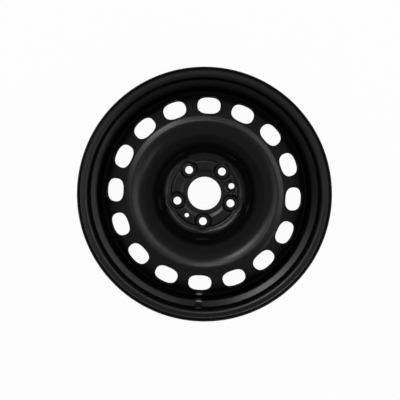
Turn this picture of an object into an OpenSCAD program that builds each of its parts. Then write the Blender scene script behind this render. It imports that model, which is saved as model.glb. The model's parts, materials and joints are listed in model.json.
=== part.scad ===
// Pressed steel road wheel in two sheets: a rolled rim and a drawn disc,
// joined by fillet welds round the disc's flange.
// Millimetres. The wheel's axle runs along Z, the outboard face looks up, and the
// origin is on the axle in the plane where the disc seats on the hub.

/* [Rim] */
// Diameter at the heel of the bead seats
bead_d = 405.6; // [396:0.2:416]
// Width between the two flange faces that the tyre presses on
rim_w = 165.1; // [150:0.5:185]
// Distance from the rim's middle plane out to the hub face
offset = 45; // [38:0.5:52]
// Thickness of the rolled rim sheet
rim_t = 2.5; // [2:0.1:3.2]
// Height of each flange above the bead seat's heel
flange_h = 17.4; // [16:0.1:19]
// Width of each flange, from the tyre's face to the lip
flange_w = 12.4; // [11.5:0.1:15]
// Radius of the flange's curl on the tyre's side
curl_r = 7.2; // [6.5:0.1:9.5]
// Radius between flange and bead seat on the tyre's side
heel_r = 6.5; // [5:0.1:8]
// Rounding of the lips' cut edges
lip_r = 1; // [0.6:0.1:1.1]

/* [Bead seats and well] */
// Width of each bead seat, from the flange face to the foot of its hump
seat_w = 18.5; // [16:0.1:20]
// Taper of the bead seats
seat_angle = 5; // [4:0.1:6]
// Slope of the hump's rise from the bead seat
hump_angle = 12; // [8:1:16]
// Radius over the humps
hump_r = 5; // [4:0.1:6]
// Distance from the flange face to the crown of the front wall
wall_in = 25.7; // [25:0.1:28]
// Lean of the well's front wall away from square to the axle
wall_angle = 24.5; // [18:0.5:30]
// Depth of the well below the bead seat's heel
well_depth = 19.8; // [18:0.1:21]
// Radius between front wall and well bottom on the tyre's side
well_r = 14; // [10:0.5:15]
// Width of the well's flat bottom
well_w = 33; // [28:0.5:40]
// Slope of the well's rear wall
rear_angle = 24; // [20:1:30]
// Radius at the foot and the head of the rear wall
rear_r = 16; // [12:1:20]
// Height of the inboard ledge above the well bottom
ledge_h = 12; // [10:0.5:14]
// Drop of the ledge below the inboard bead seat
ledge_drop = 2; // [1:0.1:3]
// Diameter of the valve hole
valve_d = 11.5; // [10:0.1:13]
// Drop of the valve hole's middle below the bead seat's heel
valve_drop = 9.6; // [8.6:0.1:10.6]
// Width of the chamfer round the valve hole on the tyre's side
valve_chamfer = 0.5; // [0.3:0.1:0.8]
// Width of the eased mouth round the valve hole on the front
valve_mouth = 2; // [1:0.1:2.4]
// Depth of that mouth
valve_mouth_h = 1; // [0.5:0.1:1.2]

/* [Disc] */
// Thickness of the disc sheet
disc_t = 3.8; // [3:0.1:4.5]
// Height of the disc's crest above the hub face
crest_h = 59; // [54:0.5:62]
// Radius at which the crest lies
crest_at = 126.6; // [122:0.2:130]
// Rounding of the crest on its inner side
crest_in_r = 30; // [24:1:34]
// Rounding of the crest on its outer side
crest_out_r = 23; // [18:1:26]
// Radius where the bowl's wall would meet the flat hub face
bowl_at = 71.1; // [70:0.1:72]
// Rounding at the foot of the bowl
foot_r = 16; // [12:0.5:18]
// Slope of the bowl near the hub
bowl_steep = 64; // [62:0.5:66]
// Slope of the bowl near the crest
bowl_flare = 43.5; // [42:0.5:45]
// Rounding between the bowl's two slopes
bowl_r = 55; // [40:1:60]
// Slope of the vented cone outside the crest
cone_angle = 38; // [35:0.5:40]
// Rounding where the cone turns into the flange
shoulder_r = 46; // [36:1:48]
// Length of flange that seats in the well
seat_len = 20; // [14:0.5:24]

/* [Vents] */
// Number of vents in the cone
vents = 16; // [10:1:18]
// Length of each vent along the cone's slope
vent_len = 38.2; // [32:0.2:42]
// Width of each vent round the wheel
vent_w = 39.8; // [32:0.2:42]
// Corner radius of the vents
vent_r = 16; // [12:0.5:18]
// Radius at which the vents' middles lie
vent_at = 155.1; // [154:0.1:157]

/* [Hub] */
// Diameter of the centre bore
bore_d = 58.1; // [54:0.1:64]
// Diameter of the bolt circle
bolt_circle = 98; // [96:0.5:102]
// Number of wheel bolts
bolts = 5; // [4:1:5]
// Diameter of the bolt holes
bolt_hole_d = 13.6; // [13:0.1:15]
// Diameter of the cone seat at the top of each bolt boss
bolt_seat_d = 17.8; // [16.5:0.1:19]
// Full angle of the bolts' cone seats
bolt_seat_angle = 60; // [50:1:70]
// Height of the bolt bosses above the hub face
boss_h = 2.2; // [1.5:0.1:3]
// Diameter of the bolt bosses at the top
boss_d = 23.4; // [22.6:0.1:24.2]
// Depth of the relief behind each bolt boss
relief_h = 1; // [0.4:0.1:1.2]
// Height of the lands pressed up between the bolts
land_h = 1.8; // [1.2:0.1:2.4]
// Inner radius of the lands at their foot
land_in = 38.2; // [36:0.1:40]
// Outer radius of the lands at their foot
land_out = 58.8; // [57:0.1:60]
// Width of the lands' sloping sides
land_slope = 4.4; // [3:0.1:5]
// Radius of the flat left round each bolt
bolt_flat_r = 13.6; // [13.2:0.1:15]
// Radius of the tool pocket that each bolt pushes into the bowl's foot
tool_r = 17.4; // [16.8:0.1:18.4]
// Slope of the tool pockets' wall
tool_angle = 72; // [69:0.5:75]
// Diameter of the plain locating hole
screw_hole_d = 7.4; // [6:0.1:9]
// Diameter of the second locating hole
pin_hole_d = 10.2; // [9:0.1:12]
// Height of the collar round the second locating hole
collar_h = 1.2; // [0.6:0.1:1.6]

/* [Welds] */
// Number of weld beads
beads = 8; // [4:1:12]
// Length of each bead round the well
bead_len = 60; // [30:1:75]
// Leg of each bead's fillet
bead_leg = 4.5; // [3:0.1:6]

/* [Hidden] */
$fn = 144;
// Largest turn between two points of a bend
bend_step = 9;
// Overshoot of every cut past the face it leaves
over = 1;
// Reach of the valve hole's cutter past both faces of the front wall
cut_reach = 12;
// Direction of the valve hole, of one bolt and of one vent
low_side = 270;
bolt_step = 360 / bolts;
vent_step = 360 / vents;

// Rim, from the flange faces inwards
bead_r = bead_d / 2;
lip_at = bead_r + flange_h;
out_face = rim_w / 2 - offset;
in_face = -rim_w / 2 - offset;
well_at = bead_r - well_depth;
well_bore = well_at - rim_t;
seat_end = bead_r - seat_w * tan(seat_angle);
hump_top = seat_end + (wall_in - seat_w) * tan(hump_angle);
wall_top = out_face - wall_in;
wall_foot = wall_top - (hump_top - well_at) * tan(wall_angle);
well_front = wall_foot - well_r * tan((90 - wall_angle) / 2);
well_back = well_front - well_w;
ledge_front = well_back - ledge_h / tan(rear_angle);
ledge_end = in_face + wall_in + hump_r;

// Disc, from the bore outwards
bowl_top = crest_at - crest_in_r * tan(bowl_flare / 2);
bowl_run = bowl_top - bowl_at;
bowl_rise = crest_h - disc_t;
steep_len = (bowl_run * sin(bowl_flare) - bowl_rise * cos(bowl_flare)) / sin(bowl_flare - bowl_steep);
bend_at = bowl_at + steep_len * cos(bowl_steep);
bend_z = disc_t + steep_len * sin(bowl_steep);
cone_top = crest_at + crest_out_r * tan(cone_angle / 2);
shoulder_z = crest_h - (well_bore - cone_top) * tan(cone_angle);
flange_end = well_front - seat_len;
vent_z = crest_h - (vent_at - cone_top) * tan(cone_angle);
bolt_at = bolt_circle / 2;
boss_foot = boss_h * tan(bolt_seat_angle / 2) + boss_d / 2;
pin_turn = low_side + 1.5 * bolt_step;
screw_turn = low_side - bolt_step / 2;
// Half the angle of the sunk floor round the second locating hole, and its height above the sheet
pin_floor = 13.5;
pin_step = 0.4;
// Width of the land left standing round that floor
pin_edge = 2.4;
collar_w = 2;
tool_h = crest_h / 3;
// Height at which the metal pushed back behind a tool pocket starts
tool_foot = 0.6;

// The rolled sheet on the tyre's side, as corners [radius, z, bend radius]
rim_corners = [
    [lip_at, out_face + flange_w - lip_r, 0],
    [lip_at, out_face, curl_r],
    [bead_r, out_face, heel_r],
    [seat_end, out_face - seat_w, hump_r],
    [hump_top, wall_top, hump_r],
    [well_at, wall_foot, well_r],
    [well_at, well_back, rear_r],
    [well_at + ledge_h, ledge_front, rear_r],
    [seat_end - ledge_drop, ledge_end + hump_r, hump_r],
    [hump_top, in_face + wall_in, hump_r],
    [seat_end, in_face + seat_w, hump_r],
    [bead_r, in_face, heel_r],
    [lip_at, in_face, curl_r],
    [lip_at, in_face - flange_w + lip_r, 0]
];

// The drawn sheet on its front, as corners [radius, z, bend radius]
disc_corners = [
    [bore_d / 4, disc_t, 0],
    [bowl_at, disc_t, foot_r],
    [bend_at, bend_z, bowl_r],
    [bowl_top, crest_h, crest_in_r],
    [cone_top, crest_h, crest_out_r],
    [well_bore, shoulder_z, shoulder_r],
    [well_bore, flange_end, 0]
];

function point(corner) = [corner[0], corner[1]];
function along(a, b) = (b - a) / norm(b - a);
function left(v) = [-v[1], v[0]];
function turned(v, a) = [v[0] * cos(a) - v[1] * sin(a), v[0] * sin(a) + v[1] * cos(a)];

// Points of one rounded corner, each with the sheet's left-hand normal
function bend(a, b, c, r) =
    let (u = along(a, b),
         w = along(b, c),
         turn = atan2(cross(u, w), u * w),
         side = sign(turn),
         centre = b - u * r * tan(abs(turn) / 2) + left(u) * side * r,
         steps = ceil(abs(turn) / bend_step))
    [for (i = [0:steps])
        let (n = turned(left(u), turn * i / steps))
        [centre - n * side * r, n]];

// Points along a whole sheet, each with its normal
function sheet_path(corners) =
    let (last = len(corners) - 1,
         p = [for (c = corners) point(c)])
    concat(
        [[p[0], left(along(p[0], p[1]))]],
        [for (i = [1:last - 1]) each bend(p[i - 1], p[i], p[i + 1], corners[i][2])],
        [[p[last], left(along(p[last - 1], p[last]))]]
    );

// Half-round corners of a cut edge that faces along dir, on a sheet with normal n
function cut_edge(p, n, dir, t, r) = concat(
    [for (a = [0:30:90]) p + n * r * (1 - cos(a)) + dir * r * sin(a)],
    [for (a = [0:30:90]) p + n * (t - r + r * sin(a)) + dir * r * cos(a)]
);

// Section of a sheet that is t thick on the right-hand side of its path
function sheet_section(path, t, first_r, last_r) =
    let (last = len(path) - 1,
         back = [for (i = [last:-1:0]) path[i][0] - path[i][1] * t],
         end_dir = along(path[last - 1][0], path[last][0]),
         start_dir = along(path[1][0], path[0][0]))
    concat(
        [for (i = [1:last - 1]) path[i][0]],
        cut_edge(path[last][0], -path[last][1], end_dir, t, last_r),
        [for (i = [1:last - 1]) back[i]],
        first_r == 0 ? [back[last], path[0][0]]
            : [for (i = [7:-1:0]) cut_edge(path[0][0], -path[0][1], start_dir, t, first_r)[i]]
    );

// Turns its children to one direction round the axle and out to radius r
module around(direction, r) {
    rotate([0, 0, direction])
        translate([r, 0, 0])
            children();
}

// A cone frustum between two heights, from radius r1 up to r2
module cone(z1, r1, z2, r2) {
    translate([0, 0, z1])
        cylinder(h = z2 - z1, r1 = r1, r2 = r2);
}

// A plain round hole through everything between two heights
module hole(d, z1, z2) {
    translate([0, 0, z1])
        cylinder(h = z2 - z1, d = d);
}

// Rounded oblong, w wide and l long, cut h deep both ways
module vent(w, l, r, h) {
    translate([0, 0, -h / 2])
        linear_extrude(h)
            union() {
                square([l - 2 * r, w], center = true);
                square([l, w - 2 * r], center = true);
                for (x = [-1, 1], y = [-1, 1])
                    translate([x * (l / 2 - r), y * (w / 2 - r)])
                        circle(r);
            }
}

// The valve hole, square to the front wall, with a wide eased mouth on the front
module valve_hole() {
    mid_r = bead_r - valve_drop;
    mid_z = wall_foot + (mid_r - well_at) * tan(wall_angle);
    rotate([0, 0, low_side])
        translate([mid_r, 0, mid_z])
            rotate([0, -wall_angle, 0]) {
                hole(valve_d, -cut_reach, rim_t + cut_reach);
                cone(rim_t - valve_mouth_h, valve_d / 2, rim_t + over,
                    valve_d / 2 + valve_mouth * (valve_mouth_h + over) / valve_mouth_h);
                cone(-over, valve_d / 2 + valve_chamfer + over, valve_chamfer, valve_d / 2);
            }
}

module rim() {
    path = sheet_path(rim_corners);
    color("#1a1b1c")
        difference() {
            rotate_extrude()
                polygon(sheet_section(path, rim_t, lip_r, lip_r));
            valve_hole();
        }
}

// The drawn sheet before its hub is pressed
module disc_sheet() {
    path = sheet_path(disc_corners);
    rotate_extrude()
        polygon(sheet_section(path, disc_t, 0, lip_r));
}

// All that lies behind the front of the bowl, out to its crest
module behind_bowl() {
    front = [for (p = sheet_path(disc_corners)) if (p[0][0] <= crest_at) p[0]];
    rotate_extrude()
        polygon(concat(front, [[crest_at, 0], [bore_d / 4, 0]]));
}

// Space of one tool pocket from height z1 up, grown by t
module tool_pocket(z1, t) {
    foot = tool_r + t / sin(tool_angle);
    cone(z1, foot + (z1 - disc_t) / tan(tool_angle),
        disc_t + tool_h, foot + tool_h / tan(tool_angle));
}

// Lands between the bolts: a ring with sloping sides, cleared round each bolt
module lands(base, below) {
    top = base + land_h;
    difference() {
        rotate_extrude()
            polygon([
                [land_in, base - below],
                [land_in, base],
                [land_in + land_slope, top],
                [land_out - land_slope, top],
                [land_out, base],
                [land_out, base - below]
            ]);
        for (i = [0:bolts - 1])
            around(low_side + i * bolt_step, bolt_at) {
                cone(base, bolt_flat_r, top + over, bolt_flat_r + land_slope * (land_h + over) / land_h);
                if (below > 0)
                    hole(2 * bolt_flat_r, base - below - over, base + over / 10);
            }
    }
}

// Sunk floor round the second locating hole
module pin_pocket(base) {
    top = base + land_h;
    rotate([0, 0, pin_turn - pin_floor])
        rotate_extrude(angle = 2 * pin_floor)
            polygon([
                [land_in + land_slope + pin_edge, base + pin_step],
                [land_in + land_slope, top + over],
                [land_out - land_slope, top + over],
                [land_out - land_slope - pin_edge, base + pin_step]
            ]);
}

// Lands with the sunk floor taken out, above one face of the sheet
module pressed_lands(base, below) {
    difference() {
        lands(base, below);
        pin_pocket(base);
    }
}

module disc() {
    seat_r = bolt_seat_d / 2;
    seat_tan = tan(bolt_seat_angle / 2);
    boss_top = disc_t + boss_h;
    pin_r = pin_hole_d / 2;
    color("#1f2021")
        difference() {
            union() {
                difference() {
                    union() {
                        disc_sheet();
                        intersection() {
                            behind_bowl();
                            for (i = [0:bolts - 1])
                                around(low_side + i * bolt_step, bolt_at)
                                    tool_pocket(tool_foot, disc_t);
                        }
                    }
                    for (i = [0:bolts - 1])
                        around(low_side + i * bolt_step, bolt_at)
                            tool_pocket(disc_t, 0);
                    pressed_lands(0, over);
                }
                pressed_lands(disc_t, 0);
                for (i = [0:bolts - 1])
                    around(low_side + i * bolt_step, bolt_at)
                        cone(disc_t, boss_foot, boss_top, boss_d / 2);
                around(pin_turn, bolt_at)
                    cone(disc_t, pin_r + 2 * collar_w, disc_t + collar_h, pin_r + collar_w);
            }
            hole(bore_d, -over, disc_t + over);
            for (i = [0:bolts - 1])
                around(low_side + i * bolt_step, bolt_at) {
                    hole(bolt_hole_d, -over, boss_top + over);
                    cone(boss_top - (seat_r - bolt_hole_d / 2) / seat_tan, bolt_hole_d / 2,
                        boss_top + over, seat_r + over * seat_tan);
                    cone(-over, boss_d / 2 + over, relief_h, boss_d / 2 - relief_h);
                }
            around(pin_turn, bolt_at)
                hole(pin_hole_d, -over, boss_top + over);
            around(screw_turn, bolt_at)
                hole(screw_hole_d, -over, boss_top + over);
            for (i = [0:vents - 1])
                around(low_side + i * vent_step, vent_at)
                    translate([0, 0, vent_z])
                        rotate([0, cone_angle, 0])
                            vent(vent_w, vent_len, vent_r, 6 * disc_t);
        }
}

// One fillet bead in the corner between the flange's edge and the well
module weld_bead(i) {
    span = bead_len / well_bore * 180 / PI;
    color("#26272a")
        rotate([0, 0, low_side + (i - 0.5) * 360 / beads - span / 2])
            rotate_extrude(angle = span)
                polygon([
                    [well_bore, flange_end],
                    [well_bore - bead_leg + lip_r, flange_end],
                    [well_bore, flange_end - bead_leg]
                ]);
}

rim();
disc();
for (i = [1:beads])
    weld_bead(i);
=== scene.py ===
"""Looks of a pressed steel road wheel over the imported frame: rim, vented disc and weld beads.

Lengths are millimetres where nothing else is said, and meshes are scaled to metres as they are made.
The axle is Z, the outboard face looks up, and the wheel lies on its inboard flange.
"""
import json
import math
import bpy
import numpy as np
from mathutils import Matrix, Vector


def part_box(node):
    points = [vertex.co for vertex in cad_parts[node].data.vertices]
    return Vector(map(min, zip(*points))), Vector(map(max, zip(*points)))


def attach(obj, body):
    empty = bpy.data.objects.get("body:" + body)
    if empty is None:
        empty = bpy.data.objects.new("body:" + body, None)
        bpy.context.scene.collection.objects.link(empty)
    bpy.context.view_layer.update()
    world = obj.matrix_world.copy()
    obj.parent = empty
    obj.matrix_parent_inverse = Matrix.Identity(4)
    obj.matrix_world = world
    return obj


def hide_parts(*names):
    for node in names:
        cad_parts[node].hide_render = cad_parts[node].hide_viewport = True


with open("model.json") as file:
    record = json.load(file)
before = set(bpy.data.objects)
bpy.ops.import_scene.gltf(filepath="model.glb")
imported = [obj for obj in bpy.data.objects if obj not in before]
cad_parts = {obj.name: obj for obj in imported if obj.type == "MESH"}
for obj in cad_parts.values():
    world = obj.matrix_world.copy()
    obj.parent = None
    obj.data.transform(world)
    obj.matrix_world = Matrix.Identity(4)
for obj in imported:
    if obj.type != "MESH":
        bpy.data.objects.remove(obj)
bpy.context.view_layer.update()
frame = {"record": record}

MM = 0.001
TURN = 2 * math.pi

# Sizes that the frame holds
mounts = {m["name"]: m for m in frame["record"]["mounts"]}
rim_low, rim_high = (np.array(c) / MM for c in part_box("rim"))
disc_low, disc_high = (np.array(c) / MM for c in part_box("disc"))
lip_r = rim_high[0]
lip_z = rim_high[2]
rear_lip_z = rim_low[2]
crest_h = disc_high[2]
well_bore = disc_high[0]
flange_end = disc_low[2]
bore_r = mounts["hub_bore"]["dims"]["r_mm"]
bolt_at = mounts["wheel_bolts"]["dims"]["pcd_mm"] / 2
bolts = mounts["wheel_bolts"]["dims"]["count"]
bolt_hole_r = mounts["wheel_bolts"]["dims"]["hole_r_mm"]
pin_r = mounts["pin_hole"]["dims"]["r_mm"]
screw_r = mounts["screw_hole"]["dims"]["r_mm"]
valve_r = mounts["valve_hole"]["dims"]["r_mm"]
low_side = math.radians(270)
bolt_step = TURN / bolts
pin_turn = low_side + 1.5 * bolt_step
screw_turn = low_side - bolt_step / 2

# Rim section, on the tyre's side
rim_t = 2.5
bead_r = 202.8
flange_w = 12.4
curl_r = 7.2
heel_r = 6.5
edge_r = 1.0
seat_w = 18.5
seat_angle = math.radians(5)
hump_angle = math.radians(12)
hump_r = 5.0
wall_in = 25.7
wall_angle = math.radians(24.5)
well_r = 12.6
well_w = 33.0
rear_angle = math.radians(24)
rear_r = 16.0
ledge_h = 12.0
ledge_drop = 2.0
# Valve hole: how far inside the bead seat its middle lies, its chamfer outside and its pressed mouth inside
valve_drop = 9.6
valve_chamfer = 0.5
valve_mouth = 1.9
valve_mouth_h = 1.7

# Disc section, on its front
disc_t = 3.8
crest_at = 126.6
crest_in_r = 30.0
crest_out_r = 23.0
crest_r = 12.0
crest_tilt = math.radians(14)
flank_in_r = 40.0
flank_out_r = 15.0
bowl_at = 71.1
foot_r = 16.0
bowl_steep = math.radians(64)
bowl_flare = math.radians(43.5)
bowl_r = 55.0
cone_angle = math.radians(38)
shoulder_r = 46.0

# Vents: half sizes along the cone and round it, the power of their rounded outline, and their edges' rounds
vents = 16
vent_half_len = 19.1
vent_half_w = 19.9
vent_power = 2.55
vent_at = 155.1
vent_edge = 0.9
vent_back_edge = 0.4

# Bolt seats and bosses: the cone, then the top's and the foot's radius and round, and the groove at the foot
bolt_seat_r = 8.9
bolt_seat_angle = math.radians(30)
boss_h = 2.2
boss_top_r = 11.5
boss_foot_r = 14.0
boss_top_round = 0.5
boss_foot_round = 0.2
boss_groove = 1.0
groove_w = 2.0
# Relief behind each boss, and half the width of its soft edge
relief_h = 1.0
relief_r = 11.7
relief_soft = 1.0
# Lands: their borders, the widths and rounds of their inner and outer sides, and the groove outside them
land_h = 1.8
land_in = 37.8
land_out = 59.4
land_slope = 4.8
land_round = 3.5
land_drop = 1.6
land_out_foot = 0.3
land_out_top = 5.0
land_groove = 0.9
# Flat left round each bolt, and the width and rounds of the lands' side towards it
bolt_flat_r = 13.6
bolt_side = 3.2
bolt_side_foot = 0.875
bolt_side_top = 1.75
# Pocket that the bolt tool needs in the bowl's foot
tool_r = 21.2
tool_round = 6.0
tool_angle = math.radians(64)
tool_blend = 1.0
# Sunk floor round the pin hole: its height, its reach to either side and its soft edge
pin_floor_h = 0.4
pin_floor_turn = (math.radians(17), math.radians(13.5))
pin_edge = 3.2
# Collar round the pin hole: its height, the widths of its top and side, its rounds and the groove round it
collar_h = 2.0
collar_w = 2.1
collar_side = 2.2
collar_round = 2.0
collar_foot_round = 0.3
collar_groove = 0.9
collar_groove_off = 0.4
# Rounded front edge of the bore, the bolts' cone seats and the plain holes
hole_edge = 0.5

# Welds: how far the section fills its legs and the power of its outline, the ripples, and the round ends
beads = 8
bead_len = 60.0
bead_leg = 4.5
bead_fill = 0.86
bead_power = 1.35
bead_ripples = 26
ripple_h = 0.05
bead_end_power = 14
bead_end_least = 0.02

# Steps of the meshes: columns round the axle, angles of a bend on the disc and the rim, and degrees of a cut
# edge's round. They keep the rim and the disc just under 200,000 triangles each.
AROUND = 320
BEND_STEP = math.radians(4)
RIM_BEND_STEP = math.radians(5)
EDGE_STEP = 15
# Points along a weld bead and across it
BEAD_ALONG = 121
BEAD_ROUND = 9
# Points are one where they round to the same step: steps to a millimetre, and a shift off round numbers
WELD_STEPS = 1000
WELD_SHIFT = 0.137
# Rounds of the search for the point of a curved sheet on a given line
SEARCH = 6
# Lengths of the flat runs drawn to either side of a slope, and how much of them is used
FLAT_RUN = 60.0
FLAT_USED = 50.0
# Ends of the flat runs on either side of a round step, as distances from its middle
STEP_START = -5.0
STEP_END = 400.0

lip_at = lip_r
out_face = lip_z - flange_w
in_face = rear_lip_z + flange_w
well_at = well_bore + rim_t
seat_end = bead_r - seat_w * math.tan(seat_angle)
hump_top = seat_end + (wall_in - seat_w) * math.tan(hump_angle)
wall_top = out_face - wall_in
wall_foot = wall_top - (hump_top - well_at) * math.tan(wall_angle)
well_front = wall_foot - well_r * math.tan((math.pi / 2 - wall_angle) / 2)
well_back = well_front - well_w
ledge_front = well_back - ledge_h / math.tan(rear_angle)
ledge_end = in_face + wall_in + hump_r
valve_at = bead_r - valve_drop
valve_z = wall_foot + (valve_at - well_at) * math.tan(wall_angle)

bowl_top = crest_at - crest_in_r * math.tan(bowl_flare / 2)
steep_len = ((bowl_top - bowl_at) * math.sin(bowl_flare)
             - (crest_h - disc_t) * math.cos(bowl_flare)) / math.sin(bowl_flare - bowl_steep)
bend_at = bowl_at + steep_len * math.cos(bowl_steep)
bend_z = disc_t + steep_len * math.sin(bowl_steep)
cone_top = crest_at + crest_out_r * math.tan(cone_angle / 2)
shoulder_z = crest_h - (well_bore - cone_top) * math.tan(cone_angle)
# The crest is a narrow top between two gentle flanks, which meet the bowl's flare and the cone
peak_z = crest_h + crest_r * (1 / math.cos(crest_tilt) - 1)
rise_in, rise, rise_out = math.tan(bowl_flare), math.tan(crest_tilt), math.tan(cone_angle)
flank_in = (peak_z - crest_at * rise - crest_h + bowl_top * rise_in) / (rise_in - rise)
flank_out = (crest_h + cone_top * rise_out - peak_z - crest_at * rise) / (rise_out - rise)

RIM_CORNERS = [
    (lip_at, lip_z - edge_r, 0),
    (lip_at, out_face, curl_r),
    (bead_r, out_face, heel_r),
    (seat_end, out_face - seat_w, hump_r),
    (hump_top, wall_top, hump_r),
    (well_at, wall_foot, well_r),
    (well_at, well_back, rear_r),
    (well_at + ledge_h, ledge_front, rear_r),
    (seat_end - ledge_drop, ledge_end + hump_r, hump_r),
    (hump_top, in_face + wall_in, hump_r),
    (seat_end, in_face + seat_w, hump_r),
    (bead_r, in_face, heel_r),
    (lip_at, in_face, curl_r),
    (lip_at, rear_lip_z + edge_r, 0),
]
DISC_CORNERS = [
    (bore_r, disc_t, 0),
    (bowl_at, disc_t, foot_r),
    (bend_at, bend_z, bowl_r),
    (flank_in, peak_z - (crest_at - flank_in) * rise, flank_in_r),
    (crest_at, peak_z, crest_r),
    (flank_out, peak_z - (flank_out - crest_at) * rise, flank_out_r),
    (well_bore, shoulder_z, shoulder_r),
    (well_bore, flange_end + edge_r, 0),
]


def unit(v):
    """Each vector of an array over its own length."""
    return v / np.linalg.norm(v, axis=-1, keepdims=True)


def left(v):
    """Each plane vector turned a quarter turn to the left."""
    return np.stack([-v[..., 1], v[..., 0]], axis=-1)


def sheet_path(corners, step=BEND_STEP):
    """Points and outward normals along a sheet's face: straight runs joined by tangent arcs.

    A bend of radius r that turns by a starts r tan(a/2) before its corner.
    """
    p = np.array([c[:2] for c in corners], float)
    points, normals = [p[:1]], [left(unit(p[1] - p[0]))[None]]
    for a, b, c, r in zip(p, p[1:], p[2:], [c[2] for c in corners[1:]]):
        u, w = unit(b - a), unit(c - b)
        turn = math.atan2(u[0] * w[1] - u[1] * w[0], u @ w)
        side = math.copysign(1, turn)
        centre = b - u * r * math.tan(abs(turn) / 2) + left(u) * side * r
        angle = np.linspace(0, turn, 2 + int(abs(turn) / step))[:, None]
        n = left(u) * np.cos(angle) + left(left(u)) * np.sin(angle)
        points.append(centre - n * side * r)
        normals.append(n)
    points.append(p[-1:])
    normals.append(left(unit(p[-1] - p[-2]))[None])
    return np.vstack(points), np.vstack(normals)


def cut_edge(point, normal, ahead, thick, r):
    """A sheet's cut edge: two quarter rounds of radius r, from its face to its back."""
    a = np.radians(np.arange(0, 90 + EDGE_STEP, EDGE_STEP))[:, None]
    first = point - normal * r * (1 - np.cos(a)) + ahead * r * np.sin(a)
    second = point - normal * (thick - r + r * np.sin(a)) + ahead * r * np.cos(a)
    points = np.vstack([first, second])
    normals = np.vstack([normal * np.cos(a) + ahead * np.sin(a), ahead * np.cos(a) - normal * np.sin(a)])
    return points, normals


def circle_of(section, normals, angles):
    """A section of (radius, height) carried round the axle through the given angles."""
    c, s = np.cos(angles)[None, :], np.sin(angles)[None, :]
    r, z = section[:, :1], section[:, 1:2]
    points = np.stack([r * c, r * s, z + 0 * c], axis=-1)
    nr, nz = normals[:, :1], normals[:, 1:2]
    return points, np.stack([nr * c, nr * s, nz + 0 * c], axis=-1)


class Surface:
    """Grids of points with their normals, welded into one closed mesh where their borders meet."""

    def __init__(self):
        self.points, self.normals, self.quads, self.count = [], [], [], 0

    def grid(self, points, normals, round_again=True, flip=False, keep=None):
        """Adds a grid whose first axis crosses and whose second runs round, closed if round_again."""
        nu, nv = points.shape[:2]
        index = np.arange(nu * nv).reshape(nu, nv) + self.count
        if round_again:
            index = np.hstack([index, index[:, :1]])
        quads = np.stack([index[:-1, :-1], index[1:, :-1], index[1:, 1:], index[:-1, 1:]], axis=-1)
        if keep is not None:
            quads = quads[keep]
        quads = quads.reshape(-1, 4)
        self.quads.append(quads[:, ::-1] if flip else quads)
        self.points.append(points.reshape(-1, 3))
        self.normals.append(normals.reshape(-1, 3))
        self.count += nu * nv

    def piece(self, name):
        """The welded mesh as an object: equal points become one, and its normals are kept as worked out."""
        points, normals, quads = (np.concatenate(a) for a in (self.points, self.normals, self.quads))
        key = np.round(points * WELD_STEPS + WELD_SHIFT).astype(np.int64)
        used, where = np.unique(key, axis=0, return_inverse=True)
        where = where.ravel()
        first = np.full(len(used), len(points))
        np.minimum.at(first, where, np.arange(len(points)))
        summed = np.zeros((len(used), 3))
        np.add.at(summed, where, normals)
        quads = where[quads]
        in_use = np.unique(quads)
        new = np.full(len(used), -1)
        new[in_use] = np.arange(len(in_use))
        quads = new[quads]
        points = points[first[in_use]] * MM
        normals = unit(summed[in_use])
        return mesh_object(name, points, quads, normals)


def mesh_object(name, points, quads, normals):
    """A smooth mesh object from arrays; a quad whose corners met is left as a triangle."""
    faces = [tuple(dict.fromkeys(q)) for q in quads.tolist()]
    faces = [f for f in faces if len(f) > 2]
    mesh = bpy.data.meshes.new(name)
    mesh.from_pydata(points.tolist(), [], faces)
    mesh.update()
    mesh.shade_smooth()
    mesh.normals_split_custom_set_from_vertices(normals.tolist())
    obj = bpy.data.objects.new(name, mesh)
    bpy.context.collection.objects.link(obj)
    return obj


def ramp(x, a, b):
    """Rises smoothly from 0 at a to 1 at b, as 3t^2 - 2t^3."""
    t = np.clip((x - a) / (b - a), 0, 1)
    return t * t * (3 - 2 * t)


def lower_of(a, b, blend):
    """The lower of two heights, rounded over a width where they cross."""
    h = np.clip(0.5 + 0.5 * (b - a) / blend, 0, 1)
    return b + (a - b) * h - blend * h * (1 - h)


def around(direction, r):
    """The point at that direction and radius from the axle."""
    return np.array([r * math.cos(direction), r * math.sin(direction)])


FRONT, FRONT_N = sheet_path(DISC_CORNERS)
BACK = FRONT - FRONT_N * disc_t
# A path is read as far as its normal's upward share stays over this
LEAST_UP = 0.2


def arc_height(path, normals, r):
    """Height of a path of arcs and straight runs at radius r, by a cubic through its points and slopes.

    Between two points h apart, with t from 0 to 1, heights y0, y1 and slopes s0, s1, it is
    y0 (1+2t)(1-t)^2 + s0 h t(1-t)^2 + y1 t^2(3-2t) + s1 h t^2(t-1).
    """
    rise = np.flatnonzero(np.append(True, np.diff(path[:, 0]) > 1e-9))
    rise = rise[: np.argmax(normals[rise, 1] < LEAST_UP) or len(rise)]
    x, y = path[rise, 0], path[rise, 1]
    slope = -normals[rise, 0] / normals[rise, 1]
    k = np.clip(np.searchsorted(x, r) - 1, 0, len(x) - 2)
    h = x[k + 1] - x[k]
    t = (r - x[k]) / h
    return (y[k] * (1 + 2 * t) * (1 - t) ** 2 + slope[k] * h * t * (1 - t) ** 2
            + y[k + 1] * t * t * (3 - 2 * t) + slope[k + 1] * h * t * t * (t - 1))


def sheet_height(r, back):
    """Height of the drawn disc's front or back at radius r, without the hub's pressing."""
    r = np.maximum(r, bore_r)
    return arc_height(BACK if back else FRONT, FRONT_N, r)


BOLT_TURNS = low_side + bolt_step * np.arange(bolts)


def bolt_distance(x, y):
    """Distance of each point from the nearest bolt's middle."""
    centres = np.stack([around(a, bolt_at) for a in BOLT_TURNS])
    gaps = np.hypot(x[..., None] - centres[:, 0], y[..., None] - centres[:, 1])
    return gaps.min(axis=-1)


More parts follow.
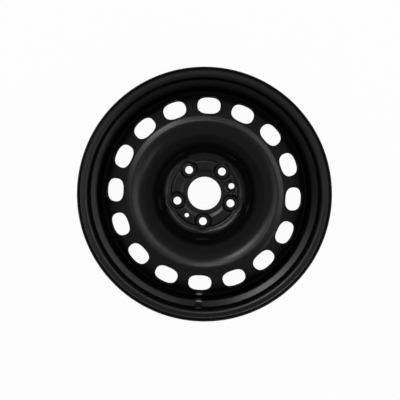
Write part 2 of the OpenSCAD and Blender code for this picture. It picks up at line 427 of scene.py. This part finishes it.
def tool_height(gap, back):
    """Height of the bolt tool's pocket by distance from the bolt: a cone with a rounded foot."""
    corners = [(0, disc_t, 0), (tool_r, disc_t, tool_round),
               (tool_r + crest_h / math.tan(tool_angle), disc_t + crest_h, 0)]
    path, normals = sheet_path(corners)
    return arc_height(path - normals * disc_t if back else path, normals, gap)


def slope_up(x, foot, top, low_round, high_round):
    """Rises from 0 at foot to 1 at top as a straight slope land_h high, rounded by arcs at both ends."""
    corners = [(foot - FLAT_RUN, 0, 0), (foot, 0, low_round),
               (top, land_h, high_round), (top + FLAT_RUN, land_h, 0)]
    return arc_height(*sheet_path(corners), np.clip(x, foot - FLAT_USED, top + FLAT_USED)) / land_h


def round_step(gap, high, top, foot, top_round, foot_round):
    """Falls from high inside radius top to 0 outside radius foot, as a straight side rounded at both ends."""
    corners = [(STEP_START, high, 0), (top, high, top_round), (foot, 0, foot_round), (STEP_END, 0, 0)]
    return arc_height(*sheet_path(corners), gap)


def land_height(x, y):
    """Height of the lands: a ring with sloping sides, cleared round the bolts and sunk round the pin hole."""
    r, turn = np.hypot(x, y), np.arctan2(y, x)
    ring = slope_up(r, land_in, land_in + land_slope, land_round, land_round)
    ring = ring * slope_up(-r, -land_out, land_drop - land_out, land_out_foot, land_out_top)
    gap = bolt_distance(x, y)
    ring = ring * slope_up(gap, bolt_flat_r, bolt_flat_r + bolt_side, bolt_side_foot, bolt_side_top)
    off = (turn - pin_turn + math.pi) % TURN - math.pi
    reach = np.where(off < 0, *pin_floor_turn) * bolt_at
    floor = 1 - ramp(np.abs(off) * r, reach - pin_edge, reach)
    floor = floor * ramp(r, land_in + land_slope, land_in + land_slope + pin_edge)
    floor = floor * (1 - ramp(r, land_out - land_slope - pin_edge, land_out - land_slope))
    return ring * (land_h - (land_h - pin_floor_h) * floor)


def groove(x, middle, depth):
    """Depth of a shallow rounded groove groove_w to either side of middle, as a raised cosine."""
    return -depth * (1 + np.cos(np.clip((x - middle) / groove_w, -1, 1) * math.pi)) / 2


def disc_height(x, y, back=False):
    """Height of the disc's front or back over the point (x, y), hub pressing and bosses included."""
    r, gap = np.hypot(x, y), bolt_distance(x, y)
    flat = 0 if back else disc_t
    z = lower_of(sheet_height(r, back), tool_height(gap, back), tool_blend)
    z = np.where(r < bolt_at, flat, np.maximum(z, flat)) + land_height(x, y)
    if back:
        return z + relief_h * (1 - ramp(gap, relief_r - relief_soft, relief_r + relief_soft))
    pin = around(pin_turn, bolt_at)
    off_pin = np.hypot(x - pin[0], y - pin[1])
    collar_top = pin_r + collar_w
    collar_foot = collar_top + collar_side
    share = round_step(off_pin, 1, collar_top, collar_foot, collar_round, collar_foot_round)
    z = z + np.maximum(disc_t + collar_h - z, 0) * share
    sunk = np.minimum(groove(gap, boss_foot_r, boss_groove), groove(r, land_out, land_groove))
    z = z + np.minimum(sunk, groove(off_pin, collar_foot + collar_groove_off, collar_groove))
    return z + round_step(gap, boss_h, boss_top_r, boss_foot_r, boss_top_round, boss_foot_round)


def disc_normal(x, y, back=False):
    """Upward normal of disc_height by differences over a twentieth of a millimetre."""
    d = 0.05
    dx = (disc_height(x + d, y, back) - disc_height(x - d, y, back)) / (2 * d)
    dy = (disc_height(x, y + d, back) - disc_height(x, y - d, back)) / (2 * d)
    return unit(np.stack([-dx, -dy, np.ones_like(dx)], axis=-1))


def lift(xy, back=False):
    """Plane points raised onto the disc's front or back, with outward normals."""
    x, y = xy[..., 0], xy[..., 1]
    n = disc_normal(x, y, back)
    return np.stack([x, y, disc_height(x, y, back)], axis=-1), -n if back else n


def cell_border(direction, half, rows, across):
    """The border of a cell of the polar grid as one loop: out arc, far side, in arc, near side."""
    t = np.linspace(0, 1, across, endpoint=False)
    side = 0 * rows[1:]
    turn = np.concatenate([-half + 2 * half * t, half + side, half - 2 * half * t, -half + side])
    r = np.concatenate([rows[-1] + 0 * t, rows[:0:-1], rows[0] + 0 * t, rows[:-1]])
    turn = turn + direction
    return np.stack([r * np.cos(turn), r * np.sin(turn)], axis=-1)


def spread(first, last, steps, power=1.6):
    """Rings between two loops, closer together at the first where the power is over 1."""
    t = (np.linspace(0, 1, steps + 1) ** power)[:, None, None]
    return first[None] + (last - first)[None] * t


def edge_round(r, steps=5):
    """Offsets and depths of a quarter round of radius r, from the wall up to the face, with its angles."""
    a = np.radians(90 - np.linspace(0, 90, steps))
    return r * (1 - np.sin(a)), r * (1 - np.cos(a)), a


def hole_front(border, centre, r, edge, circles, steps):
    """Front face of a cell round a hole: rounded edge, true circles, then rings out to the border."""
    off = border - centre
    ray = unit(off)
    out, sink, tilt = edge_round(edge)
    rings = centre + ray[None] * (r + out)[:, None, None]
    points, normals = lift(rings)
    inward = np.concatenate([-ray, 0 * ray[:, :1]], axis=-1)[None]
    points = points - normals * sink[:, None, None]
    normals = unit(normals * np.cos(tilt)[:, None, None] + inward * np.sin(tilt)[:, None, None])
    outer = [centre + ray[None] * c for c in circles]
    rest, rest_n = lift(np.concatenate(outer + [spread(outer[-1][0], border, steps)[1:]]))
    return np.concatenate([points, rest]), np.concatenate([normals, rest_n])


def hole_back(border, centre, r, circles, steps):
    """Back face of a cell round a hole, from its sharp edge out to the border."""
    ray = unit(border - centre)
    rings = [centre + ray[None] * c for c in (r, *circles)]
    return lift(np.concatenate(rings + [spread(rings[-1][0], border, steps)[1:]]), back=True)


def hole_wall(top, bottom, ray):
    """Straight wall of a hole between its front and back loops."""
    inward = np.concatenate([-ray, 0 * ray[:, :1]], axis=-1)
    return np.stack([top, bottom]), np.stack([inward, inward])


# Borders of the disc's cells from the bore outwards, with the vents' own in front and behind
bore_ring = bore_r + 0.9
hub_in = bore_r + 1.6
hub_out = 65.0
vent_in = 136.5
vent_out = 173.0
back_in = 133.5
back_out = 170.0
hub_across = 32
vent_across = 20
# Rows of the hub between these radii, closer together over the lands' sides
HUB_MARKS = (hub_in, 37.4, 42.4, 54.6, 60.0, hub_out)
HUB_STEPS = (4, 8, 6, 9, 4)
HUB_ROWS = np.concatenate([np.linspace(r1, r2, steps + 1)[:-1]
                           for r1, r2, steps in zip(HUB_MARKS, HUB_MARKS[1:], HUB_STEPS)] + [[hub_out]])
VENT_ROWS = np.linspace(vent_in, vent_out, 21)
BACK_ROWS = np.linspace(back_in, back_out, 21)
# Circles of a bolt's cell, closer together over the boss's side, and circles outside a plain hole or a vent
BOLT_FRONT = (10.2, 10.7, 11.0, 11.3, 11.6, 12.0, 12.4, 12.8, 13.1, 13.4, 13.7, 14.1, 14.5, 14.9)
BOLT_BACK = (9.0, 10.7, 11.2, 11.7, 12.2, 12.7, 14.4)
PIN_WIDTHS = (1.2, 1.7, 2.1, 2.5, 3.0, 3.5, 4.0, 4.5, 5.0, 5.6, 6.3)
SCREW_WIDTHS = (1.0,)
HOLE_BACK_WIDTH = 1.5
VENT_WIDTHS = (1.4, 2.1)
# Steps from the last circle to the border, in front and behind, and the vents' and the valve's even spread
BOLT_STEPS = (8, 4)
HOLE_STEPS = (30, 7)
VENT_STEPS = (6, 4)
VALVE_STEPS = 5
EVEN = 1.2
# Steps across the bowl and along the shoulder, in front and behind
BOWL_STEPS = (40, 15)
SHOULDER_STEPS = (10, 8)
# Patch of the rim's front wall that holds the valve hole: half its height, half its columns, its first ring
VALVE_PATCH = 9.0
VALVE_COLUMNS = 5
VALVE_RING = 0.3
# Directions of the columns that run all the way round, from a border of the bolt cell at the valve hole
TURNS = low_side - bolt_step / 4 + TURN * np.arange(AROUND) / AROUND


def add_bolt_cell(s, direction):
    """Cell round one bolt hole: boss with cone seat in front, shallow relief behind."""
    centre = around(direction, bolt_at)
    border = cell_border(direction, bolt_step / 4, HUB_ROWS, hub_across)
    ray = unit(border - centre)
    front, front_n = hole_front(border, centre, bolt_seat_r, hole_edge, BOLT_FRONT, BOLT_STEPS[0])
    s.grid(front, front_n)
    seat_z = disc_t + boss_h - (bolt_seat_r - bolt_hole_r) / math.tan(bolt_seat_angle)
    loop = np.concatenate([centre + ray * bolt_hole_r, 0 * ray[:, :1] + seat_z], axis=-1)
    seat_c, seat_s = math.cos(bolt_seat_angle), math.sin(bolt_seat_angle)
    inward = np.concatenate([-ray * seat_c, 0 * ray[:, :1] + seat_s], axis=-1)
    s.grid(np.stack([loop, front[0]]), np.stack([inward, inward]))
    back, back_n = hole_back(border, centre, bolt_hole_r, BOLT_BACK, BOLT_STEPS[1])
    s.grid(back, back_n, flip=True)
    wall, wall_n = hole_wall(loop, back[0], ray)
    s.grid(wall, wall_n, flip=True)


def add_hole_cell(s, direction, r, widths):
    """Cell round one plain hole between two bolts, with circles of the given widths outside it."""
    centre = around(direction, bolt_at)
    border = cell_border(direction, bolt_step / 4, HUB_ROWS, hub_across)
    ray = unit(border - centre)
    front, front_n = hole_front(border, centre, r, hole_edge, [r + w for w in widths], HOLE_STEPS[0])
    s.grid(front, front_n)
    back, back_n = hole_back(border, centre, r, [r + HOLE_BACK_WIDTH], HOLE_STEPS[1])
    s.grid(back, back_n, flip=True)
    wall, wall_n = hole_wall(front[0], back[0], ray)
    s.grid(wall, wall_n, flip=True)


def add_plain_cell(s, direction):
    """Cell between two bolts that has no hole: a polar grid on both faces."""
    turns = direction + bolt_step / 4 * np.linspace(-1, 1, hub_across + 1)
    for back in (False, True):
        xy = np.stack([HUB_ROWS[:, None] * np.cos(turns), HUB_ROWS[:, None] * np.sin(turns)], axis=-1)
        points, normals = lift(xy, back)
        s.grid(points, normals, round_again=False, flip=back)


def vent_loop(grow, ray):
    """Points (along, round) on the cone of a vent's outline grown by some width, one for each ray.

    The outline is |a/A|^n + |b/B|^n = 1, met along each ray from the vent's middle.
    """
    size = np.abs(ray / np.array([vent_half_len + grow, vent_half_w + grow]))
    reach = (size ** vent_power).sum(axis=-1) ** (-1 / vent_power)
    return ray * reach[:, None]


def vent_point(direction, flat, back):
    """Where the line square to the cone at a point (along, round) of it meets the disc's front or back."""
    tilt_c, tilt_s = math.cos(cone_angle), math.sin(cone_angle)
    mid_z = crest_h - (vent_at - cone_top) * math.tan(cone_angle)
    a, b = flat[:, 0], flat[:, 1]
    h = np.zeros_like(a) - (disc_t if back else 0)
    for _ in range(SEARCH):
        x = vent_at + a * tilt_c + h * tilt_s
        z = mid_z - a * tilt_s + h * tilt_c
        h = h - (z - sheet_height(np.hypot(x, b), back)) * tilt_c
    x = vent_at + a * tilt_c + h * tilt_s
    c, s = math.cos(direction), math.sin(direction)
    return np.stack([x * c - b * s, x * s + b * c], axis=-1)


def add_vent_cell(s, direction):
    """Cell round one vent: rounded front edge, wall square to the cone, and the back."""
    half = math.pi / vents
    c, sn = math.cos(direction), math.sin(direction)
    tilt_c, tilt_s = math.cos(cone_angle), math.sin(cone_angle)
    size = np.array([vent_half_len, vent_half_w])
    faces = []
    for back in (False, True):
        border = cell_border(direction, half, BACK_ROWS if back else VENT_ROWS, vent_across)
        x, y = border.T
        local = np.stack([x * c + y * sn - vent_at, y * c - x * sn], axis=-1)
        if back:
            local[:, 0] += disc_t * tilt_s
        ray = unit(local / np.array([tilt_c, 1]))
        out, sink, tilt = edge_round(vent_back_edge, 3) if back else edge_round(vent_edge)
        rings = [vent_point(direction, vent_loop(w, ray), back) for w in out]
        points, normals = lift(np.stack(rings), back)
        flat = vent_loop(0, ray)
        g = np.sign(flat) * np.abs(flat / size) ** (vent_power - 1)
        g = unit(g / size)
        inward = -np.stack([g[:, 0] * tilt_c * c - g[:, 1] * sn, g[:, 0] * tilt_c * sn + g[:, 1] * c,
                            -g[:, 0] * tilt_s], axis=-1)[None]
        points = points - normals * sink[:, None, None]
        normals = unit(normals * np.cos(tilt)[:, None, None] + inward * np.sin(tilt)[:, None, None])
        more = [vent_point(direction, vent_loop(w, ray), back) for w in VENT_WIDTHS]
        outer = spread(more[-1], border, VENT_STEPS[back], EVEN)[1:]
        rest, rest_n = lift(np.concatenate([np.stack(more), outer]), back)
        s.grid(np.concatenate([points, rest]), np.concatenate([normals, rest_n]), flip=back)
        faces.append((points[0], inward[0]))
    (top, top_n), (bottom, bottom_n) = faces
    s.grid(np.stack([top, bottom]), np.stack([top_n, bottom_n]), flip=True)


def disc():
    """The drawn disc: front and back over polar rings and cells, joined by the holes and the flange."""
    s = Surface()
    ring = np.stack([np.cos(TURNS), np.sin(TURNS)], axis=-1)
    inward = np.concatenate([-ring, 0 * ring[:, :1]], axis=-1)
    out, sink, tilt = edge_round(hole_edge)
    edge, edge_n = lift(ring[None] * (bore_r + out)[:, None, None])
    edge = edge - edge_n * sink[:, None, None]
    edge_n = edge_n * np.cos(tilt)[:, None, None] + inward[None] * np.sin(tilt)[:, None, None]
    flat, flat_n = lift(ring[None] * np.array([bore_ring, hub_in])[:, None, None])
    s.grid(np.concatenate([edge, flat]), np.concatenate([edge_n, flat_n]))
    back, back_n = lift(ring[None] * np.array([bore_r, hub_in])[:, None, None], back=True)
    s.grid(back, back_n, flip=True)
    s.grid(np.stack([edge[0], back[0]]), np.stack([inward, inward]), flip=True)
    for turn in BOLT_TURNS:
        add_bolt_cell(s, turn)
    add_hole_cell(s, pin_turn, pin_r, PIN_WIDTHS)
    add_hole_cell(s, screw_turn, screw_r, SCREW_WIDTHS)
    for i in range(bolts):
        turn = low_side + (i + 0.5) * bolt_step
        if min(abs(math.remainder(turn - t, TURN)) for t in (pin_turn, screw_turn)) > bolt_step / 4:
            add_plain_cell(s, turn)
    for is_back, outer in ((False, vent_in), (True, back_in)):
        r = np.linspace(hub_out, outer, BOWL_STEPS[is_back] + 1)
        points, normals = lift(ring[None] * r[:, None, None], is_back)
        s.grid(points, normals, flip=is_back)
    for i in range(vents):
        add_vent_cell(s, low_side + i * TURN / vents)
    add_flange(s)
    return s.piece("disc_pressing")


def add_flange(s):
    """The disc's shoulder and flange beyond the vents, with its cut edge, carried round the axle."""
    last, last_n = FRONT[-1], FRONT_N[-1]
    edge, edge_n = cut_edge(last, last_n, np.array([0.0, -1.0]), disc_t, edge_r)
    run = shoulder_r * math.tan((math.pi / 2 - cone_angle) / 2)
    centre = np.array([well_bore - shoulder_r, shoulder_z - run])
    a = np.arcsin((vent_out - centre[0]) / shoulder_r)
    bend = np.linspace(a, math.pi / 2, SHOULDER_STEPS[0])
    n = np.stack([np.sin(bend), np.cos(bend)], axis=-1)
    b = np.arcsin((back_out - centre[0]) / (shoulder_r - disc_t))
    bend_b = np.linspace(math.pi / 2, b, SHOULDER_STEPS[1])
    nb = np.stack([np.sin(bend_b), np.cos(bend_b)], axis=-1)
    section = np.vstack([centre + n * shoulder_r, edge, centre + nb * (shoulder_r - disc_t)])
    normals = np.vstack([n, edge_n, -nb])
    s.grid(*circle_of(section, normals, TURNS))


def valve_cell(s, path, normals, side, rows, columns):
    """Cell of the rim's wall round the valve hole, on the tyre's side or, where side is False, the front.

    A point of the wall is named by its place along the wall's straight line and its direction. rows and
    columns are the first and last of the patch that the cell fills.
    """
    across = np.array([math.cos(wall_angle), math.sin(wall_angle)])
    square = left(across)
    mid = np.array([valve_at, valve_z])
    part = slice(rows[0], rows[1] + 1)
    place = (path[part] - mid) @ across
    order = np.argsort(place)
    place_sorted = place[order]
    height = ((path[part] - mid) @ square)[order]
    radial, level = path[part][order].T
    tilt_r, tilt_z = normals[part][order].T
    turn = TURNS[columns[0]:columns[1] + 1] - low_side
    border = np.concatenate([
        np.stack([np.full(len(turn) - 1, place[-1]), turn[:-1]], axis=-1),
        np.stack([place[:0:-1], np.full(len(place) - 1, turn[-1])], axis=-1),
        np.stack([np.full(len(turn) - 1, place[0]), turn[:0:-1]], axis=-1),
        np.stack([place[:-1], np.full(len(place) - 1, turn[0])], axis=-1)])
    ray = unit(border * np.array([1.0, mid[0]]))

    def hole_ring(r):
        """Where a cylinder of radius r round the hole's line meets this side: place and direction."""
        a, b = (ray * r).T
        h = np.zeros_like(a)
        for _ in range(SEARCH):
            x = mid[0] + a * across[0] + h * square[0]
            z = mid[1] + a * across[1] + h * square[1]
            off = np.stack([np.hypot(x, b), z], axis=-1) - mid
            h = h + np.interp(off @ across, place_sorted, height) - off @ square
        x = mid[0] + a * across[0] + h * square[0]
        z = mid[1] + a * across[1] + h * square[1]
        off = np.stack([np.hypot(x, b), z], axis=-1) - mid
        return np.stack([off @ across, np.arctan2(b, x)], axis=-1)

    def on_rim(loops):
        """Points and normals of the rim's side at each (place, direction)."""
        p, t = loops[..., 0], loops[..., 1] + low_side
        r, z = np.interp(p, place_sorted, radial), np.interp(p, place_sorted, level)
        nr, nz = np.interp(p, place_sorted, tilt_r), np.interp(p, place_sorted, tilt_z)
        n = unit(np.stack([nr * np.cos(t), nr * np.sin(t), nz], axis=-1))
        return np.stack([r * np.cos(t), r * np.sin(t), z], axis=-1), n

    eased, sunk = (valve_chamfer, valve_chamfer) if side else (valve_mouth, valve_mouth_h)
    mouth = valve_r + eased
    rings = np.stack([hole_ring(mouth), hole_ring(mouth + VALVE_RING)])
    loops = np.concatenate([rings, spread(rings[-1], border, VALVE_STEPS, EVEN)[1:]])
    points, out_n = on_rim(loops)
    s.grid(points, out_n, flip=not side)
    c, sn = math.cos(low_side), math.sin(low_side)
    axis = np.array([square[0] * c, square[0] * sn, square[1]])
    a, b = (ray * valve_r).T
    x = mid[0] + a * across[0]
    z = mid[1] + a * across[1]
    ground = np.stack([x * c - b * sn, x * sn + b * c, z], axis=-1)
    depth = ((points[0] - ground) @ axis)[:, None]
    throat = ground + axis * (depth + (sunk if side else -sunk))
    inward = -unit(np.stack([ray[:, 0] * across[0] * c - ray[:, 1] * sn,
                             ray[:, 0] * across[0] * sn + ray[:, 1] * c, ray[:, 0] * across[1]], axis=-1))
    slope = unit(inward * sunk + axis * eased * (-1 if side else 1))
    s.grid(np.stack([throat, points[0]]), np.stack([slope, slope]), flip=not side)
    return throat, inward


def rim():
    """The rolled rim: its section carried round the axle, with the valve hole through the front wall."""
    s = Surface()
    path, normals = sheet_path(RIM_CORNERS, RIM_BEND_STEP)
    path, normals = path[1:-1], normals[1:-1]
    outward, ahead = np.array([1.0, 0.0]), np.array([0.0, 1.0])
    first, first_n = cut_edge(np.array([lip_at, lip_z - edge_r]), outward, ahead, rim_t, edge_r)
    last, last_n = cut_edge(np.array([lip_at, rear_lip_z + edge_r]), outward, -ahead, rim_t, edge_r)
    in_wall = np.flatnonzero(np.abs(path[:, 1] - valve_z) < VALVE_PATCH)
    i1, i2 = in_wall[0] - 1, in_wall[-1] + 1
    at_valve = AROUND // (4 * bolts)
    j1, j2 = at_valve - VALVE_COLUMNS, at_valve + VALVE_COLUMNS
    back = path - normals * rim_t
    keep = np.ones((len(path) - 1, AROUND), bool)
    keep[i1:i2, j1:j2] = False
    outer, outer_n = circle_of(path, normals, TURNS)
    s.grid(outer, outer_n, keep=keep)
    inner, inner_n = circle_of(back, -normals, TURNS)
    s.grid(inner, inner_n, flip=True, keep=keep)
    lip = np.vstack([back[:1], first[::-1], path[:1]])
    lip_n = np.vstack([-normals[:1], first_n[::-1], normals[:1]])
    s.grid(*circle_of(lip, lip_n, TURNS))
    lip = np.vstack([path[-1:], last, back[-1:]])
    lip_n = np.vstack([normals[-1:], last_n, -normals[-1:]])
    s.grid(*circle_of(lip, lip_n, TURNS))
    tyre, tyre_n = valve_cell(s, path, normals, True, (i1, i2), (j1, j2))
    front, front_n = valve_cell(s, back, -normals, False, (i1, i2), (j1, j2))
    s.grid(np.stack([front, tyre]), np.stack([front_n, tyre_n]))
    return s.piece("rim_rolled")


def weld_bead(i):
    """Points of one fillet bead: a section that swells with each ripple and shrinks at both ends.

    The section runs from leg to leg as (cos a)^p, (sin a)^p, and closes at the corner that it fills.
    """
    span = bead_len / well_bore
    middle = low_side + (i + 0.5) * TURN / beads
    t = np.linspace(0, 1, BEAD_ALONG)
    ends = np.sqrt(np.clip(1 - np.abs(2 * t - 1) ** bead_end_power, bead_end_least, 1))
    size = ends * (1 + ripple_h * np.abs(np.sin(math.pi * t * bead_ripples)))
    a = np.linspace(0, math.pi / 2, BEAD_ROUND)
    inward = np.append(bead_leg * bead_fill * np.cos(a) ** bead_power, 0)[:, None]
    down = np.append(bead_leg * bead_fill * np.sin(a) ** bead_power, 0)[:, None]
    r = well_bore - inward * size
    z = flange_end - down * size
    turn = middle + span * (t - 0.5)
    return np.stack([r * np.cos(turn), r * np.sin(turn), z], axis=-1)


def bead_piece(i):
    """A weld bead as a closed piece: its skin, its two legs and its two ends."""
    points = weld_bead(i)
    n, m = points.shape[:2]
    index = np.arange(n * m).reshape(n, m)
    wrap = np.vstack([index, index[:1]])
    quads = np.stack([wrap[:-1, :-1], wrap[1:, :-1], wrap[1:, 1:], wrap[:-1, 1:]], axis=-1).reshape(-1, 4)
    faces = quads[:, ::-1].tolist() + [index[:, 0].tolist(), index[::-1, -1].tolist()]
    mesh = bpy.data.meshes.new(f"fillet_{i + 1}")
    mesh.from_pydata((points.reshape(-1, 3) * MM).tolist(), [], faces)
    mesh.update()
    mesh.shade_smooth()
    obj = bpy.data.objects.new(f"fillet_{i + 1}", mesh)
    bpy.context.collection.objects.link(obj)
    return obj


def from_hex(code):
    """An sRGB hex colour as linear red, green, blue and 1."""
    c = np.array([int(code[i:i + 2], 16) for i in (1, 3, 5)]) / 255
    linear = np.where(c <= 0.04045, c / 12.92, ((c + 0.055) / 1.055) ** 2.4)
    return (*linear.tolist(), 1.0)


def add(tree, kind, settings=None, links=None):
    """Adds a node, sets its values or sockets, and links its sockets from others."""
    node = tree.nodes.new(kind)
    for key, value in (settings or {}).items():
        if isinstance(key, str) and hasattr(node, key):
            setattr(node, key, value)
        else:
            node.inputs[key].default_value = value
    for key, source in (links or {}).items():
        tree.links.new(source, node.inputs[key])
    return node


# Paint: size of the areas over which its tone drifts, and height of its orange peel
drift_mm = 45
peel_h = 0.02


def dip_primer(name, base, rough, peel_mm):
    """Baked cathodic dip primer over pressed steel: even satin black with a faint orange peel.

    The eye sees a near-black film whose highlights have soft edges and whose tone varies a little by area.
    """
    mat = bpy.data.materials.new(name)
    mat.use_nodes = True
    tree = mat.node_tree
    tree.nodes.clear()
    place = add(tree, "ShaderNodeTexCoord").outputs["Object"]
    peel = add(tree, "ShaderNodeTexNoise", {"Scale": 1 / (peel_mm * MM), "Detail": 2.0}, {"Vector": place})
    drift = add(tree, "ShaderNodeTexNoise", {"Scale": 1 / (drift_mm * MM), "Detail": 3.0}, {"Vector": place})
    gloss = add(tree, "ShaderNodeMapRange", {"To Min": rough - 0.03, "To Max": rough + 0.05},
                {"Value": drift.outputs[0]})
    tone = add(tree, "ShaderNodeMapRange", {"To Min": 0.85, "To Max": 1.2}, {"Value": drift.outputs[0]})
    film = add(tree, "ShaderNodeMix", {"data_type": "RGBA", "blend_type": "MULTIPLY"})
    film.inputs[0].default_value = 1.0
    film.inputs[6].default_value = from_hex(base)
    tree.links.new(tone.outputs[0], film.inputs[7])
    skin = add(tree, "ShaderNodeBump", {"Strength": 0.25, "Distance": peel_h * MM},
               {"Height": peel.outputs[0]})
    shader = add(tree, "ShaderNodeBsdfPrincipled", {"IOR": 1.5, "Specular IOR Level": 0.32},
                 {"Base Color": film.outputs[2], "Roughness": gloss.outputs[0], "Normal": skin.outputs[0]})
    add(tree, "ShaderNodeOutputMaterial", {}, {"Surface": shader.outputs[0]})
    return mat


primer = dip_primer("dip primer, satin black", "#070707", 0.25, 1.4)
weld_primer = dip_primer("dip primer over weld metal", "#090909", 0.38, 0.8)

wheel_disc = disc()
wheel_rim = rim()
for piece, node in ((wheel_disc, "disc"), (wheel_rim, "rim")):
    piece.data.materials.append(primer)
    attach(piece, "root")
    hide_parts(node)
for i in range(beads):
    fillet = bead_piece(i)
    fillet.data.materials.append(weld_primer)
    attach(fillet, "root")
    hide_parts(f"weld_bead_{i + 1}")


# Camera: pinhole over the wheel, leaning towards the far side, turned a little round its view line.
# focal_px and lip_px are in pixels of the picture, and lip_px is where the middle of the lip's circle
# falls, which lies lip_circle_down under the rim's top. sensor_w is only the lens's scale.
IMAGE = 400
view_dist = 2900.0
view_lean = math.radians(2.75)
view_roll = math.radians(-2.97)
focal_px = 1680.8
lip_px = (204.45, 194.56)
lip_circle_down = 0.5
sensor_w = 36.0


def place_camera():
    """Puts the camera so that the lip's middle falls on its pixel and the wheel is leant and turned."""
    c, s = math.cos(view_roll), math.sin(view_roll)
    turn = Matrix(((c, s, 0), (-s, c, 0), (0, 0, 1)))
    target = Vector((0, 0, lip_z - lip_circle_down)) * MM
    back = turn @ Vector((0, math.sin(view_lean), math.cos(view_lean)))
    up = turn @ Vector((0, math.cos(view_lean), -math.sin(view_lean)))
    right = up.cross(back)
    off = Vector((lip_px[0] - IMAGE / 2, IMAGE / 2 - lip_px[1])) / focal_px * view_dist * MM
    eye = target + back * view_dist * MM - right * off.x - up * off.y
    data = bpy.data.cameras.new("camera")
    data.sensor_fit = "HORIZONTAL"
    data.sensor_width = sensor_w
    data.lens = sensor_w * focal_px / IMAGE
    data.clip_end = 50
    cam = bpy.data.objects.new("camera", data)
    basis = Matrix((right, up, back)).transposed().to_4x4()
    basis.translation = eye
    cam.matrix_world = basis
    bpy.context.collection.objects.link(cam)
    bpy.context.scene.camera = cam


# Soft round lamps: direction round the axle, angle off it, width in metres, and power in watts
lamp_away = 2.4
LAMPS = [
    ("key upper", 98, 22, 0.45, 3.6),
    ("key middle", 122, 30, 0.45, 2.4),
    ("key low", 122, 38, 0.45, 3.7),
    ("key left", 134, 38, 0.45, 4.0),
    ("left", 150, 34, 0.9, 3.5),
    ("left fill", 180, 18, 0.9, 2.6),
    ("top right", 60, 34, 0.9, 2.7),
    ("right upper", 30, 34, 0.9, 3.5),
    ("right", 0, 34, 0.9, 3.0),
    ("right fill", 0, 18, 0.9, 1.6),
    ("right lower", 330, 50, 0.9, 2.3),
]


def soft_lamp(name, azimuth, polar, across, power):
    """A soft round studio lamp aimed at the wheel from an azimuth and an angle off the axle."""
    az, po = math.radians(azimuth), math.radians(polar)
    way = Vector((math.sin(po) * math.cos(az), math.sin(po) * math.sin(az), math.cos(po)))
    data = bpy.data.lights.new(name, "AREA")
    data.shape = "DISK"
    data.size = across
    data.energy = power
    lamp = bpy.data.objects.new(name, data)
    lamp.matrix_world = Matrix.Translation(way * lamp_away) @ way.to_track_quat("Z", "Y").to_matrix().to_4x4()
    bpy.context.collection.objects.link(lamp)


# Floor: half its side in metres, how much of the eye's view of it is paper white rather than shaded, and
# how far past the lip, as a share of the lip's radius, the painted shadow in reflections fades
floor_half = 8.0
floor_white = 0.96
painted_shadow_fade = 1.12


def white_floor():
    """A white floor under the wheel that takes its shadow.

    It reads as white paper to the eye and in reflections, except that under the wheel reflections see a
    black shader: a painted shadow standing for the wheel's own shadow there.
    """
    signs = ((-1, -1), (1, -1), (1, 1), (-1, 1))
    corners = [(x * floor_half, y * floor_half, rear_lip_z * MM) for x, y in signs]
    mesh = bpy.data.meshes.new("floor")
    mesh.from_pydata(corners, [], [(0, 1, 2, 3)])
    mesh.update()
    floor = bpy.data.objects.new("floor", mesh)
    bpy.context.collection.objects.link(floor)
    mat = bpy.data.materials.new("floor, matt white paint")
    mat.use_nodes = True
    tree = mat.node_tree
    tree.nodes.clear()
    ray = add(tree, "ShaderNodeLightPath").outputs
    place = add(tree, "ShaderNodeTexCoord").outputs["Object"]
    out = add(tree, "ShaderNodeVectorMath", {"operation": "LENGTH"}, {0: place}).outputs["Value"]
    # Mask of the floor under the wheel, where reflections get the painted shadow
    under = add(tree, "ShaderNodeMapRange", {"From Min": lip_r * MM, "From Max": painted_shadow_fade * lip_r * MM,
                                             "To Min": 1.0, "To Max": 0.0}, {"Value": out}).outputs[0]
    mirrored = add(tree, "ShaderNodeMath", {"operation": "MAXIMUM"},
                   {0: ray["Is Glossy Ray"], 1: ray["Is Transmission Ray"]}).outputs[0]
    seen = add(tree, "ShaderNodeMath", {"operation": "MAXIMUM"},
               {0: ray["Is Camera Ray"], 1: mirrored}).outputs[0]
    share = add(tree, "ShaderNodeMath", {"operation": "MULTIPLY", 1: floor_white}, {0: seen}).outputs[0]
    painted_shadow_share = add(tree, "ShaderNodeMath", {"operation": "MULTIPLY"}, {0: mirrored, 1: under}).outputs[0]
    glow = add(tree, "ShaderNodeEmission", {"Color": from_hex("#ffffff"), "Strength": 1.0}).outputs[0]
    matt = add(tree, "ShaderNodeBsdfDiffuse", {"Color": from_hex("#f4f4f2")}).outputs[0]
    # Painted shadow: a black shader that reflections see under the wheel, in place of the wheel's shadow
    painted_shadow = add(tree, "ShaderNodeBsdfDiffuse", {"Color": from_hex("#000000")}).outputs[0]
    plain = add(tree, "ShaderNodeMixShader", {}, {0: share, 1: matt, 2: glow}).outputs[0]
    floor_look = add(tree, "ShaderNodeMixShader", {}, {0: painted_shadow_share, 1: plain, 2: painted_shadow}).outputs[0]
    add(tree, "ShaderNodeOutputMaterial", {}, {"Surface": floor_look})
    floor.data.materials.append(mat)


# Brightness of the studio's air, where 1 is white
air_level = 0.31


def studio_air():
    """An even grey studio all round."""
    world = bpy.data.worlds.new("studio")
    world.use_nodes = True
    air = world.node_tree.nodes["Background"]
    air.inputs["Color"].default_value = from_hex("#ffffff")
    air.inputs["Strength"].default_value = air_level
    bpy.context.scene.world = world


place_camera()
white_floor()
studio_air()
for lamp in LAMPS:
    soft_lamp(*lamp)
bpy.context.scene.view_settings.view_transform = "Standard"
